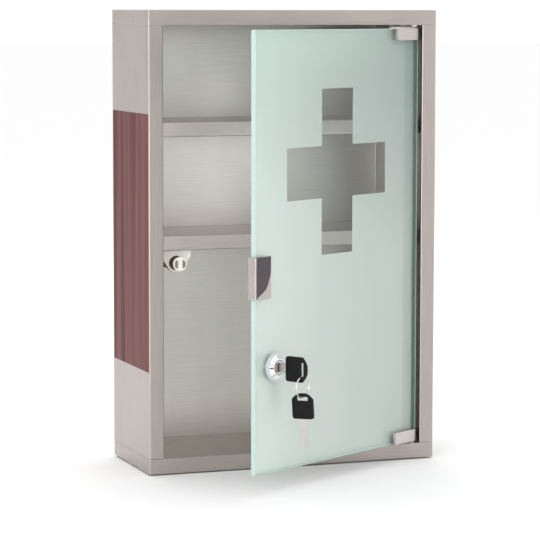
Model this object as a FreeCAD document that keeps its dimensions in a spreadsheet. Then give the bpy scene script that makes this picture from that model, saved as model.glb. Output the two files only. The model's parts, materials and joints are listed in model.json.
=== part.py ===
import FreeCAD, Part
import math
import os
import Sketcher
from types import SimpleNamespace

# Medicine cabinet with a glass door, in millimetres. The origin is the middle of the back, on the
# wall. X runs to the right, Y runs into the wall and Z runs up. The door stands open at rest.

SIZES = {
    # Folded steel case
    "cabinet_width": 300.0,
    "cabinet_depth": 120.0,
    "cabinet_height": 450.0,
    "sheet": 0.8,
    "rim": 15.0,
    "rim_return": 14.0,
    "side_return": 12.0,
    "fold_inside": 0.4,
    "seam_round": 0.35,
    "corner_wrap": 3.0,
    "corner_slit": 0.25,
    "rear_relief": 3.0,
    "join_flange": 11.0,
    "join_flange_inset": 3.0,
    "overrun": 1.0,
    # Wall fixing
    "wall_hole_radius": 3.25,
    "wall_hole_from_side": 45.0,
    "wall_hole_from_end": 40.0,
    # Shelves
    "shelf_lip": 14.3,
    "shelf_hem": 6.0,
    "shelf_gap": 0.3,
    "upper_shelf_height": 327.2,
    "lower_shelf_height": 216.7,
    # Band on each side
    "band_height": 250.0,
    "band_thickness": 0.4,
    "band_inset": 0.4,
    # Door
    "door_rest_angle": 32.0,
    "pivot_from_opening": 7.0,
    "pivot_from_front": 5.5,
    "glass_width": 262.0,
    "glass_thickness": 5.0,
    "glass_past_pivot": 4.5,
    "glass_corner": 1.5,
    "glass_arris": 0.4,
    "frost_gap": 0.03,
    "frost_thickness": 0.2,
    "frost_inset": 0.6,
    "cross_reach": 159.0,
    "cross_arm": 50.0,
    "cross_from_free_edge": 134.0,
    "cross_from_glass_top": 135.65,
    # Hinges
    "hinge_gap": 0.3,
    "hinge_pin_radius": 2.0,
    "hinge_pin_play": 0.05,
    "hinge_pin_end": 2.5,
    "hinge_plate_thickness": 1.5,
    "hinge_plate_reach": 30.0,
    "hinge_plate_past_pivot": 6.0,
    "hinge_plate_front_gap": 0.4,
    "hinge_plate_depth": 12.0,
    "hinge_plate_round": 1.5,
    "rivet_radius": 1.6,
    "rivet_head_radius": 2.6,
    "rivet_head": 0.6,
    "rivet_tail": 1.0,
    "rivet_first": 11.0,
    "rivet_pitch": 12.0,
    "bush_radius": 2.9,
    "bush_flange_radius": 3.5,
    "bush_length": 3.5,
    "top_bush_flange": 1.4,
    "bottom_bush_flange": 0.8,
    "clamp_reach": 34.5,
    "clamp_height": 13.1,
    "clamp_wall": 2.5,
    "clamp_web": 1.6,
    "clamp_past_glass": 1.7,
    "clamp_end_round": 5.0,
    "clamp_corner": 1.8,
    "clamp_bevel": 1.5,
    "clamp_pad": 0.25,
    "clamp_pad_inset": 0.5,
    "grub_radius": 1.5,
    "grub_recess": 0.25,
    "grub_socket_radius": 0.9,
    "grub_socket_depth": 1.2,
    "grub_first": 9.0,
    "grub_pitch": 16.0,
    # Clip on the free edge
    "clip_centre_height": 203.0,
    "clip_height": 39.4,
    "clip_reach": 21.0,
    "clip_wall": 1.9,
    "clip_web": 1.5,
    "clip_round": 1.2,
    "clip_edge": 0.5,
    "clip_pad": 0.35,
    "clip_pad_inset": 0.5,
    # Cam lock
    "lock_from_free_edge": 29.0,
    "lock_height": 117.7,
    "lock_hole_radius": 10.0,
    "lock_barrel_radius": 9.5,
    "lock_behind_glass": 9.5,
    "bezel_radius": 11.6,
    "bezel_face_radius": 8.2,
    "bezel_rim": 0.9,
    "bezel_cone": 2.9,
    "bezel_mark_length": 2.6,
    "bezel_mark_width": 1.1,
    "bezel_mark_depth": 0.6,
    "clear_washer_radius": 12.8,
    "clear_washer_thickness": 2.2,
    "clear_washer_edge": 0.4,
    "rear_washer_radius": 12.6,
    "rear_washer_thickness": 1.0,
    "lock_nut_radius": 13.5,
    "lock_nut_thickness": 4.0,
    "core_radius": 7.4,
    "core_play": 0.08,
    "core_face_groove": 0.3,
    "core_face_groove_width": 0.6,
    "core_band_height": 8.8,
    "core_band_depth": 0.25,
    "keyway_width": 2.4,
    "keyway_height": 6.9,
    "keyway_mouth_width": 4.4,
    "keyway_mouth_height": 8.4,
    "keyway_mouth_depth": 1.6,
    "keyway_end_wall": 2.5,
    "tail_width": 7.0,
    "tail_play": 0.1,
    "wafer_thickness": 0.8,
    "wafer_pitch": 2.5,
    "wafer_first": 4.0,
    "wafer_width": 6.4,
    "wafer_height": 12.0,
    "wafer_play": 0.05,
    "cam_gap": 0.3,
    "cam_thickness": 2.0,
    "cam_width": 14.0,
    "cam_reach": 42.0,
    "cam_tip_round": 4.0,
    "cam_screw_radius": 1.25,
    "cam_screw_depth": 4.0,
    "cam_screw_head_radius": 4.8,
    "cam_screw_head": 2.2,
    "cam_screw_slot": 0.9,
    "cam_screw_slot_depth": 1.1,
    # Keys and ring
    "key_face_gap": 0.3,
    "key_thickness": 2.0,
    "key_blade_height": 6.4,
    "key_blade_length": 17.4,
    "key_tip_height": 3.2,
    "key_groove_height": 1.4,
    "key_groove_off_middle": 1.2,
    "key_groove_depth": 0.45,
    "key_bit_depth": 0.9,
    "key_bit_flat": 0.8,
    "key_bit_slope": 0.5,
    "key_shoulder_height": 9.4,
    "key_shoulder_length": 8.0,
    "key_shoulder_slope": 3.6,
    "key_tang_height": 8.0,
    "key_tang_length": 12.5,
    "key_head_length": 24.0,
    "key_head_width": 23.6,
    "key_head_thickness": 3.0,
    "key_head_crown": 5.3,
    "key_head_crown_round": 11.0,
    "key_head_foot_round": 1.8,
    "key_head_inner_round": 2.6,
    "key_head_edge": 0.45,
    "key_panel_inset": 2.0,
    "key_panel_depth": 0.2,
    "key_slot_length": 14.0,
    "key_slot_width": 3.9,
    "key_slot_margin": 3.2,
    "ring_radius": 9.85,
    "ring_wire_radius": 0.65,
    "ring_gap": 0.3,
    # Touch latch
    "latch_from_side": 35.3,
    "latch_below_shelf": 13.2,
    "latch_setback": 24.5,
    "bracket_width": 30.4,
    "bracket_thickness": 3.0,
    "bracket_shoulder": 6.5,
    "bracket_shoulder_round": 2.5,
    "bracket_toe": 4.9,
    "bracket_below_latch": 8.6,
    "bracket_round": 7.0,
    "bracket_foot": 24.0,
    "bracket_foot_thickness": 3.0,
    "barrel_radius": 7.3,
    "barrel_bore": 6.2,
    "barrel_collar_radius": 9.2,
    "barrel_collar": 1.6,
    "barrel_length": 29.5,
    "barrel_end_wall": 3.0,
    "plunger_radius": 7.1,
    "plunger_cap": 2.2,
    "plunger_stem_radius": 4.9,
    "plunger_play": 0.1,
    "plunger_length": 34.0,
    "plunger_guide": 16.0,
    "plunger_round": 0.5,
    "plunger_strike_gap": 0.3,
    "plunger_bore_radius": 5.1,
    "plunger_bore_depth": 15.0,
    "pole_width": 3.2,
    "pole_height": 7.8,
    "pole_corner": 1.5,
    "pole_thickness": 0.8,
    "pole_recess": 0.4,
    "pole_spacing": 7.6,
    "spring_radius": 4.2,
    "spring_wire_radius": 0.4,
    "spring_end_gap": 0.1,
    "latch_screw_radius": 1.5,
    "latch_screw_head_radius": 2.9,
    "latch_screw_head": 2.0,
    "latch_screw_spacing": 22.0,
    "latch_screw_from_front": 14.0,
    "latch_screw_slot": 0.7,
    "latch_screw_slot_depth": 0.9,
}

# Counts, turns and shares
WAFER_COUNT = 5
SPRING_TURNS = 8
STEPS_IN_A_TURN = 4
SAMPLES_IN_A_TURN = 24
FULL_TURN = 360.0
QUARTER_TURN = 90.0
HEXAGON_SIDES = 6
MATCH_SHARE = 0.01
CROWN_SHARE = 0.45
SPARE_LEAN = 3.8
BIT_SHARES = (0.45, 1.0, 0.25, 0.8, 0.5)

PLANE_ACROSS = {"x": "YZ_Plane", "y": "XZ_Plane", "z": "XY_Plane"}


class Size:
    """A length or an angle, as a number and as the formula that gives it from the sheet."""

    def __init__(self, number, formula):
        self.number = number
        self.formula = formula

    def __add__(self, other):
        return Size(self.number + number_of(other), f"({self.formula} + {formula_of(other)})")

    def __sub__(self, other):
        return Size(self.number - number_of(other), f"({self.formula} - {formula_of(other)})")

    def __mul__(self, other):
        return Size(self.number * number_of(other), f"({self.formula} * {formula_of(other)})")

    def __truediv__(self, other):
        return Size(self.number / number_of(other), f"({self.formula} / {formula_of(other)})")

    def __neg__(self):
        return Size(-self.number, f"(-{self.formula})")

    __radd__ = __add__
    __rmul__ = __mul__


def number_of(size):
    """The plain number of a size or of a bare share."""
    return size.number if isinstance(size, Size) else float(size)


def formula_of(size):
    """The sheet formula of a size or of a bare share."""
    return size.formula if isinstance(size, Size) else repr(float(size))


def write_sheet(doc):
    """Put every driving size in its own named cell and return the sizes by name."""
    sheet = doc.addObject("Spreadsheet::Sheet", "Sizes")
    for row, (name, number) in enumerate(SIZES.items(), start=1):
        sheet.set(f"A{row}", name)
        sheet.set(f"B{row}", str(number))
        sheet.setAlias(f"B{row}", name)
    doc.recompute()
    return SimpleNamespace(**{name: Size(sheet.get(name), "Sizes." + name) for name in SIZES})


doc = FreeCAD.newDocument("medicine_cabinet")
s = write_sheet(doc)
nodes = []


def bind(item, name, size):
    """Tie a property to the sheet."""
    item.setExpression(name, formula_of(size))


def node(name, item):
    """Give a finished sub-part its name."""
    item.Label = name
    nodes.append(item)
    return item


def sketch_on(body, name, role, shift):
    """A sketch on one of the body's own origin planes, moved by shift in the plane's own axes."""
    plane = next(item for item in body.Origin.OriginFeatures if item.Role == role)
    sketch = body.newObject("Sketcher::SketchObject", name)
    sketch.AttachmentSupport = [(plane, "")]
    sketch.MapMode = "FlatFace"
    for letter, distance in zip("xyz", shift):
        bind(sketch, "AttachmentOffset.Base." + letter, distance)
    return sketch


def hold(sketch, kind, line, end, size):
    """Hold a point of the sketch at its distance from the origin along one axis."""
    rule = Sketcher.Constraint(kind, -1, 1, line, end, number_of(size))
    bind(sketch, f"Constraints[{sketch.addConstraint(rule)}]", size)


def draw_outline(sketch, points):
    """A closed outline of straight lines, every corner held by its two distances."""
    corners = [FreeCAD.Vector(number_of(a), number_of(b), 0) for a, b in points]
    first = sketch.GeometryCount
    count = len(corners)
    for index, corner in enumerate(corners):
        sketch.addGeometry(Part.LineSegment(corner, corners[(index + 1) % count]), False)
    for index in range(count):
        after = first + (index + 1) % count
        sketch.addConstraint(Sketcher.Constraint("Coincident", first + index, 2, after, 1))
    for index, (a, b) in enumerate(points):
        hold(sketch, "DistanceX", first + index, 1, a)
        hold(sketch, "DistanceY", first + index, 1, b)


def draw_circle(sketch, a, b, radius):
    """A circle whose centre and radius come from the sheet."""
    centre = FreeCAD.Vector(number_of(a), number_of(b), 0)
    upward = FreeCAD.Vector(0, 0, 1)
    index = sketch.addGeometry(Part.Circle(centre, upward, number_of(radius)), False)
    hold(sketch, "DistanceX", index, 3, a)
    hold(sketch, "DistanceY", index, 3, b)
    rule = Sketcher.Constraint("Radius", index, number_of(radius))
    bind(sketch, f"Constraints[{sketch.addConstraint(rule)}]", radius)


def slab(body, name, axis, start, length, outlines=(), circles=(), cut=False):
    """Pad or cut from start along the positive axis what the outlines and circles enclose.

    Outlines are given in the two other axes, in the order X, Y, Z.
    """
    shift = (0, 0, -start) if axis == "y" else (0, 0, start)
    sketch = sketch_on(body, f"{body.Name}_{name}_outline", PLANE_ACROSS[axis], shift)
    for outline in outlines:
        draw_outline(sketch, outline)
    for circle in circles:
        draw_circle(sketch, *circle)
    kind = "PartDesign::Pocket" if cut else "PartDesign::Pad"
    feature = body.newObject(kind, f"{body.Name}_{name}")
    feature.Profile = sketch
    feature.Reversed = (axis == "y") != cut
    bind(feature, "Length", length)
    return feature


def turned(body, name, axis, place, profile, cut=False):
    """Revolve points of (radius, height) about an upright or a front-to-back axis through place."""
    x, y, z = place
    role, shift = ("XZ_Plane", (x, z, -y)) if axis == "z" else ("XY_Plane", (x, y, z))
    sketch = sketch_on(body, f"{body.Name}_{name}_profile", role, shift)
    draw_outline(sketch, profile)
    kind = "PartDesign::Groove" if cut else "PartDesign::Revolution"
    feature = body.newObject(kind, f"{body.Name}_{name}")
    feature.Profile = sketch
    feature.ReferenceAxis = (sketch, ["V_Axis"])
    feature.Angle = FULL_TURN
    return feature


def rectangle(low_a, high_a, low_b, high_b):
    """The four corners of a rectangle."""
    return [(low_a, low_b), (high_a, low_b), (high_a, high_b), (low_a, high_b)]


def new_body(name):
    """An empty body."""
    return doc.addObject("PartDesign::Body", "body_" + name)


def line_at(axis, places):
    """A test for the straight edges that run along an axis through one of the places."""
    first, second = [index for index, letter in enumerate("xyz") if letter != axis]
    spots = [(number_of(a), number_of(b)) for a, b in places]
    closeness = number_of(s.sheet) * MATCH_SHARE

    def is_at(end, spot):
        return max(abs(end[first] - spot[0]), abs(end[second] - spot[1])) < closeness

    def is_there(edge):
        ends = [vertex.Point for vertex in edge.Vertexes]
        return len(ends) == 2 and any(all(is_at(end, spot) for end in ends) for spot in spots)

    return is_there


def rim_at(axis, heights):
    """A test for the edges that lie wholly at one of the heights along an axis."""
    index = "xyz".index(axis)
    levels = [number_of(height) for height in heights]
    closeness = number_of(s.sheet) * MATCH_SHARE

    def is_there(edge):
        ends = [vertex.Point[index] for vertex in edge.Vertexes] + [edge.CenterOfMass[index]]
        return any(all(abs(end - level) < closeness for end in ends) for level in levels)

    return is_there


def dress(kind, body, base, size, *tests):
    """Round or bevel the edges of base that pass any of the tests."""
    doc.recompute()
    names = [
        f"Edge{number}"
        for number, edge in enumerate(base.Shape.Edges, start=1)
        if any(test(edge) for test in tests)
    ]
    feature = body.newObject("PartDesign::" + kind, f"{base.Name}_{kind}")
    feature.Base = (base, names)
    bind(feature, "Radius" if kind == "Fillet" else "Size", size)
    return feature


def box(name, low, size):
    """A block from its low corner."""
    item = doc.addObject("Part::Box", name)
    for side, length in zip(("Length", "Width", "Height"), size):
        bind(item, side, length)
    for letter, distance in zip("xyz", low):
        bind(item, "Placement.Base." + letter, distance)
    return item


def lay_back(item):
    """Turn a shape that stands upright so that it points at the wall."""
    item.Placement = FreeCAD.Placement(
        FreeCAD.Vector(), FreeCAD.Rotation(FreeCAD.Vector(1, 0, 0), -QUARTER_TURN)
    )


def rod(name, base, radius, length, axis="z"):
    """A round rod from the middle of its base, upright or towards the wall."""
    item = doc.addObject("Part::Cylinder", name)
    if axis == "y":
        lay_back(item)
    bind(item, "Radius", radius)
    bind(item, "Height", length)
    for letter, distance in zip("xyz", base):
        bind(item, "Placement.Base." + letter, distance)
    return item


def cut_from(name, base, tool):
    """What is left of base after the tool."""
    item = doc.addObject("Part::Cut", name)
    item.Base = base
    item.Tool = tool
    return item


def group(name, items):
    """Several solids in one node."""
    item = doc.addObject("Part::Compound", name)
    item.Links = items
    return item


def hang_on_door(item):
    """Swing a piece, drawn about the hinge axis with the door shut, out to the rest angle."""
    upright = FreeCAD.Vector(0, 0, 1)
    item.Placement = FreeCAD.Placement(
        FreeCAD.Vector(), FreeCAD.Rotation(upright, number_of(s.door_rest_angle))
    )
    bind(item, "Placement.Base.x", pivot_x)
    bind(item, "Placement.Base.y", pivot_y)
    bind(item, "Placement.Rotation.Angle", s.door_rest_angle)
    return item


# Places in the case
half_width = s.cabinet_width / 2
half_height = s.cabinet_height / 2
front = -s.cabinet_depth
case_back = -s.sheet
flange_front = case_back - s.sheet
opening_half_width = half_width - s.rim
opening_half_height = half_height - s.rim
fold_outside = s.fold_inside + s.sheet
rim_back = front + s.rim_return
inner_half_width = half_width - s.sheet
upper_shelf_z = s.upper_shelf_height - half_height
lower_shelf_z = s.lower_shelf_height - half_height
shelf_front = rim_back + s.shelf_gap

# Places on the hinge
pivot_x = opening_half_width - s.pivot_from_opening
pivot_y = front + s.pivot_from_front
plate_low = opening_half_height + s.sheet
plate_high = plate_low + s.hinge_plate_thickness
plate_front = front + s.sheet + s.hinge_plate_front_gap
top_clamp_high = opening_half_height - s.top_bush_flange - s.hinge_gap
top_web_low = top_clamp_high - s.clamp_web
bottom_clamp_low = s.bottom_bush_flange + s.hinge_gap - opening_half_height
bottom_web_high = bottom_clamp_low + s.clamp_web
rivet_places = [pivot_x - s.rivet_first - s.rivet_pitch * count for count in range(2)]
rivet_y = plate_front + s.hinge_plate_depth / 2

# Places on the door, measured from the hinge axis with the door shut
glass_front = -s.glass_thickness / 2
glass_back = s.glass_thickness / 2
hinge_edge = s.glass_past_pivot
free_edge = hinge_edge - s.glass_width
glass_top = top_web_low - s.clamp_pad
glass_bottom = bottom_web_high + s.clamp_pad
clamp_end = hinge_edge + s.clamp_past_glass
film_front = glass_back + s.frost_gap
film_back = film_front + s.frost_thickness
cross_x = free_edge + s.cross_from_free_edge
cross_z = glass_top - s.cross_from_glass_top
clip_low = s.clip_centre_height - half_height - s.clip_height / 2
clip_high = clip_low + s.clip_height
clip_back = film_back + s.clip_pad + s.clip_wall
lock_x = free_edge + s.lock_from_free_edge
lock_z = s.lock_height - half_height
bezel_back = glass_front - s.clear_washer_thickness
bezel_shoulder = bezel_back - s.bezel_rim
lock_face = bezel_shoulder - s.bezel_cone
housing_back = glass_back + s.lock_behind_glass
cam_front = housing_back + s.cam_gap
cam_back = cam_front + s.cam_thickness
keyway_end = housing_back - s.keyway_end_wall
key_shoulder_end = s.key_face_gap
key_head_start = key_shoulder_end + s.key_shoulder_length
key_head_end = key_head_start + s.key_head_length
key_slot_centre = key_head_end - s.key_slot_margin - s.key_slot_width / 2
ring_y = lock_face - key_slot_centre
ring_top_z = lock_z - s.key_slot_length / 2 + s.ring_wire_radius + s.ring_gap
ring_z = ring_top_z - s.ring_radius
spare_slot_z = ring_z - s.ring_radius + s.ring_wire_radius + s.ring_gap - s.key_slot_width / 2

# Places on the touch latch
latch_x = s.latch_from_side - half_width
latch_z = lower_shelf_z - s.latch_below_shelf
shelf_underside = lower_shelf_z + s.shelf_lip - s.sheet
bracket_front = front + s.latch_setback
bracket_low = latch_z - s.bracket_below_latch
bracket_left = latch_x - s.bracket_width / 2
bracket_right = latch_x + s.bracket_width / 2
bracket_back = bracket_front + s.bracket_thickness
barrel_end = bracket_front + s.barrel_length
barrel_floor = barrel_end - s.barrel_end_wall
plunger_face = pivot_y + clip_back + s.plunger_strike_gap
plunger_end = plunger_face + s.plunger_length
plunger_floor = plunger_end - s.plunger_bore_depth
latch_screw_places = [latch_x + s.latch_screw_spacing / 2 * side for side in (-1, 1)]
latch_screw_y = bracket_front + s.latch_screw_from_front


def back_panel():
    """The flat sheet against the wall, with its four fixing holes."""
    body = new_body("back_panel")
    plan = rectangle(-half_width, half_width, -half_height, half_height)
    sheet = slab(body, "sheet", "y", case_back, s.sheet, [plan])
    corners = [(half_width * side, half_height * end) for side in (-1, 1) for end in (-1, 1)]
    dress("Fillet", body, sheet, s.fold_inside, line_at("y", corners))
    across = half_width - s.wall_hole_from_side
    upward = half_height - s.wall_hole_from_end
    holes = [(across * side, upward * end, s.wall_hole_radius) for side in (-1, 1) for end in (-1, 1)]
    slab(body, "wall_holes", "y", case_back, s.sheet, circles=holes, cut=True)
    node("back_panel", body)


def side_panel(name, side):
    """A side: front stile and return, side sheet, rear flange, and a flange at each end."""
    body = new_body(name)
    stile = opening_half_width
    profile = [
        (stile, rim_back),
        (stile, front),
        (half_width, front),
        (half_width, case_back),
        (stile, case_back),
        (stile, flange_front),
        (inner_half_width, flange_front),
        (inner_half_width, front + s.sheet),
        (stile + s.sheet, front + s.sheet),
        (stile + s.sheet, rim_back),
    ]
    profile = [(x * side, y) for x, y in profile]
    fold = slab(body, "fold", "z", -opening_half_height, opening_half_height * 2, [profile])
    outer = [(x * side, y) for x, y in ((stile, front), (half_width, front), (half_width, case_back))]
    fold = dress("Fillet", body, fold, fold_outside, line_at("z", outer))
    inner_front = (inner_half_width * side, front + s.sheet)
    inner_back = (inner_half_width * side, flange_front)
    inner_stile = ((stile + s.sheet) * side, front + s.sheet)
    fold = dress("Fillet", body, fold, s.fold_inside, line_at("z", [inner_front, inner_back, inner_stile]))
    flange = rectangle(
        (half_width - s.join_flange) * side,
        (half_width - s.sheet / 2) * side,
        rim_back + s.join_flange_inset,
        case_back - s.join_flange_inset,
    )
    slab(body, "low_flange", "z", -opening_half_height, s.sheet, [flange])
    ends = slab(body, "high_flange", "z", opening_half_height - s.sheet, s.sheet, [flange])
    rims = [(half_width * side, end) for end in (-opening_half_height, opening_half_height)]
    dress("Fillet", body, ends, s.seam_round, line_at("y", rims))
    node(name, body)


def cap(name, low, holes, holes_low):
    """A shallow pan that closes the case: plate, rim all round, and a return below it."""
    body = new_body(name)
    high = low + s.rim
    plan = rectangle(-half_width, half_width, front, case_back)
    pan = slab(body, "pan", "z", low, s.rim, [plan])
    front_corners = [(half_width * side, front) for side in (-1, 1)]
    pan = dress("Fillet", body, pan, fold_outside, line_at("z", front_corners))
    sides = [(half_width * side, high) for side in (-1, 1)]
    pan = dress("Fillet", body, pan, fold_outside, line_at("y", sides), line_at("x", [(front, high)]))
    low_sides = [(half_width * side, low) for side in (-1, 1)]
    dress("Fillet", body, pan, s.seam_round, line_at("y", low_sides), line_at("x", [(front, low)]))
    hollow = rectangle(-inner_half_width, inner_half_width, front + s.sheet, flange_front)
    slab(body, "hollow", "z", low + s.sheet, s.rim - s.sheet * 2, [hollow], cut=True)
    mouth_half = half_width - s.side_return
    mouth = rectangle(-mouth_half, mouth_half, rim_back, flange_front)
    slab(body, "mouth", "z", low, s.sheet, [mouth], cut=True)
    slab(body, "holes", "z", holes_low, s.sheet, circles=holes, cut=True)
    slit_front = front + s.corner_wrap
    slit = rectangle(slit_front, slit_front + s.corner_slit, low, high - fold_outside)
    relief = [
        (case_back - s.rear_relief, low),
        (case_back, low),
        (case_back, low + s.rear_relief),
    ]
    for side in (-1, 1):
        start = inner_half_width if side > 0 else -half_width
        slab(body, f"slit_{side + 1}", "x", start, s.sheet, [slit], cut=True)
        slab(body, f"relief_{side + 1}", "x", start, s.sheet, [relief], cut=True)
    node(name, body)


def shelf(name, low, holes=()):
    """A folded shelf with a lip all round and a hem along the front."""
    body = new_body(name)
    high = low + s.shelf_lip
    back = flange_front
    plan = rectangle(-inner_half_width, inner_half_width, shelf_front, back)
    pan = slab(body, "pan", "z", low, s.shelf_lip, [plan])
    back_corners = [(inner_half_width * side, back) for side in (-1, 1)]
    pan = dress("Fillet", body, pan, fold_outside, line_at("z", back_corners))
    dress("Fillet", body, pan, fold_outside, line_at("x", [(shelf_front, low), (shelf_front, high)]))
    inside = inner_half_width - s.sheet
    hollow = rectangle(-inside, inside, shelf_front + s.sheet, back - s.sheet)
    slab(body, "hollow", "z", low + s.sheet, s.shelf_lip - s.sheet * 2, [hollow], cut=True)
    mouth = rectangle(-inside, inside, shelf_front + s.shelf_hem, back - s.sheet)
    slab(body, "mouth", "z", low, s.sheet, [mouth], cut=True)
    if holes:
        slab(body, "holes", "z", high - s.sheet, s.sheet, circles=holes, cut=True)
    node(name, body)


def side_band(name, side):
    """The coloured band across the side, from the back to the front corner."""
    low_x = half_width if side > 0 else -half_width - s.band_thickness
    low = (low_x, front + fold_outside + s.band_inset, -s.band_height / 2)
    length = s.cabinet_depth - s.sheet - (fold_outside + s.band_inset) * 2
    node(name, box("strip_" + name, low, (s.band_thickness, length, s.band_height)))


def hinge_plate():
    """The plate on the top rim's return that backs the upper bush."""
    body = new_body("hinge_plate_top")
    left = pivot_x - s.hinge_plate_reach
    right = pivot_x + s.hinge_plate_past_pivot
    plate_back = plate_front + s.hinge_plate_depth
    plan = rectangle(left, right, plate_front, plate_back)
    plate = slab(body, "plate", "z", plate_low, s.hinge_plate_thickness, [plan])
    dress("Fillet", body, plate, s.hinge_plate_round, line_at("z", plan))
    holes = [(pivot_x, pivot_y, s.bush_radius)] + [(x, rivet_y, s.rivet_radius) for x in rivet_places]
    slab(body, "holes", "z", plate_low, s.hinge_plate_thickness, circles=holes, cut=True)
    node("hinge_plate_top", body)


def hinge_rivets():
    """Two flat-headed rivets that hold the hinge plate to the top rim's return."""
    rivets = []
    head_low = opening_half_height - s.rivet_head
    profile = [
        (0, head_low),
        (s.rivet_head_radius, head_low),
        (s.rivet_head_radius, opening_half_height),
        (s.rivet_radius, opening_half_height),
        (s.rivet_radius, plate_high),
        (s.rivet_head_radius, plate_high),
        (s.rivet_radius, plate_high + s.rivet_tail),
        (0, plate_high + s.rivet_tail),
    ]
    for number, x in enumerate(rivet_places):
        body = new_body(f"rivet_{number}")
        turned(body, "shape", "z", (x, rivet_y, 0), profile)
        rivets.append(body)
    node("hinge_plate_rivets", group("rivet_pair", rivets))


def hinge_bush(name, flange, up):
    """A flanged bush through a rim's return, with its flange on the side of the opening."""
    body = new_body("hinge_bush_" + name)
    bore = s.hinge_pin_radius + s.hinge_pin_play
    seat = opening_half_height * up
    face = seat - flange * up
    end = seat + s.bush_length * up
    profile = [
        (bore, face),
        (s.bush_flange_radius, face),
        (s.bush_flange_radius, seat),
        (s.bush_radius, seat),
        (s.bush_radius, end),
        (bore, end),
    ]
    turned(body, "shape", "z", (pivot_x, pivot_y, 0), profile)
    node("hinge_bush_" + name, body)


def hinge_pins():
    """The pins that stand in the clamps and turn in the bushes."""
    top_end = opening_half_height + s.hinge_pin_end
    base = (pivot_x, pivot_y, top_web_low)
    node("hinge_pin_top", rod("pin_top", base, s.hinge_pin_radius, top_end - top_web_low))
    low_end = -opening_half_height - s.hinge_pin_end
    base = (pivot_x, pivot_y, low_end)
    node("hinge_pin_bottom", rod("pin_bottom", base, s.hinge_pin_radius, bottom_web_high - low_end))


def hinge_clamp(name, outer, web_face, up):
    """A clamp with its liner: the glass sits in the slot, the pin stands in the web.

    The end about the pin is rounded and the outer rim is bevelled.
    """
    body = new_body("hinge_clamp_" + name)
    tip = outer - s.clamp_height * up
    half_gap = film_back + s.clamp_pad
    outside = half_gap + s.clamp_wall
    plan = rectangle(-s.clamp_reach, clamp_end, -outside, outside)
    block = slab(body, "block", "z", tip if up > 0 else outer, s.clamp_height, [plan])
    ends = [(clamp_end, outside * side) for side in (-1, 1)]
    block = dress("Fillet", body, block, s.clamp_end_round, line_at("z", ends))
    block = dress("Chamfer", body, block, s.clamp_bevel, rim_at("z", [outer]))
    dress("Fillet", body, block, s.clamp_corner, line_at("y", [(-s.clamp_reach, tip)]))
    slot = rectangle(-half_gap, half_gap, tip, web_face)
    slot_length = s.clamp_reach + hinge_edge + s.clamp_pad
    slab(body, "slot", "x", -s.clamp_reach, slot_length, [slot], cut=True)
    web_low = web_face if up > 0 else outer
    hole = (0, 0, s.hinge_pin_radius)
    slab(body, "pin_hole", "z", web_low, s.clamp_web, circles=[hole], cut=True)
    height = outer - s.clamp_height / 2 * up
    holes = [(x, height, s.grub_radius) for x in grub_places()]
    slab(body, "grub_holes", "y", half_gap, s.clamp_wall, circles=holes, cut=True)
    node("hinge_clamp_" + name, hang_on_door(body))
    liner = new_body("hinge_pad_" + name)
    liner_tip = tip + s.clamp_pad_inset * up
    liner_floor = web_face - s.clamp_pad * up
    section = [
        (-half_gap, liner_tip),
        (-half_gap, web_face),
        (half_gap, web_face),
        (half_gap, liner_tip),
        (film_back, liner_tip),
        (film_back, liner_floor),
        (glass_front, liner_floor),
        (glass_front, liner_tip),
    ]
    liner_length = s.clamp_reach + hinge_edge - s.clamp_pad_inset
    slab(liner, "channel", "x", s.clamp_pad_inset - s.clamp_reach, liner_length, [section])
    node("hinge_pad_" + name, hang_on_door(liner))


def grub_places():
    """Where the grub screws stand along a clamp."""
    return [-(s.grub_first + s.grub_pitch * count) for count in range(2)]


def grub_screws():
    """Socket grub screws in the rear wall of both clamps, pressing on the liners."""
    screws = []
    start = film_back + s.clamp_pad
    length = s.clamp_wall - s.grub_recess
    heights = (top_clamp_high - s.clamp_height / 2, bottom_clamp_low + s.clamp_height / 2)
    for x in grub_places():
        for height in heights:
            number = len(screws)
            screw = rod(f"grub_{number}", (x, start, height), s.grub_radius, length, axis="y")
            socket = doc.addObject("Part::Prism", f"grub_socket_{number}")
            lay_back(socket)
            socket.Polygon = HEXAGON_SIDES
            bind(socket, "Circumradius", s.grub_socket_radius)
            bind(socket, "Height", s.grub_socket_depth + s.overrun)
            place = (x, start + length - s.grub_socket_depth, height)
            for letter, distance in zip("xyz", place):
                bind(socket, "Placement.Base." + letter, distance)
            screws.append(cut_from(f"grub_screw_{number}", screw, socket))
    node("hinge_grub_screws", hang_on_door(group("grub_screws", screws)))


def door_glass():
    """The toughened glass pane with its polished edge and the hole for the lock."""
    body = new_body("door_glass")
    plan = rectangle(free_edge, hinge_edge, glass_bottom, glass_top)
    pane = slab(body, "pane", "y", glass_front, s.glass_thickness, [plan])
    corners = [(x, z) for x in (free_edge, hinge_edge) for z in (glass_bottom, glass_top)]
    pane = dress("Fillet", body, pane, s.glass_corner, line_at("y", corners))
    dress("Chamfer", body, pane, s.glass_arris, rim_at("y", [glass_front, glass_back]))
    hole = (lock_x, lock_z, s.lock_hole_radius)
    slab(body, "lock_hole", "y", glass_front, s.glass_thickness, circles=[hole], cut=True)
    node("door_glass", hang_on_door(body))


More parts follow.
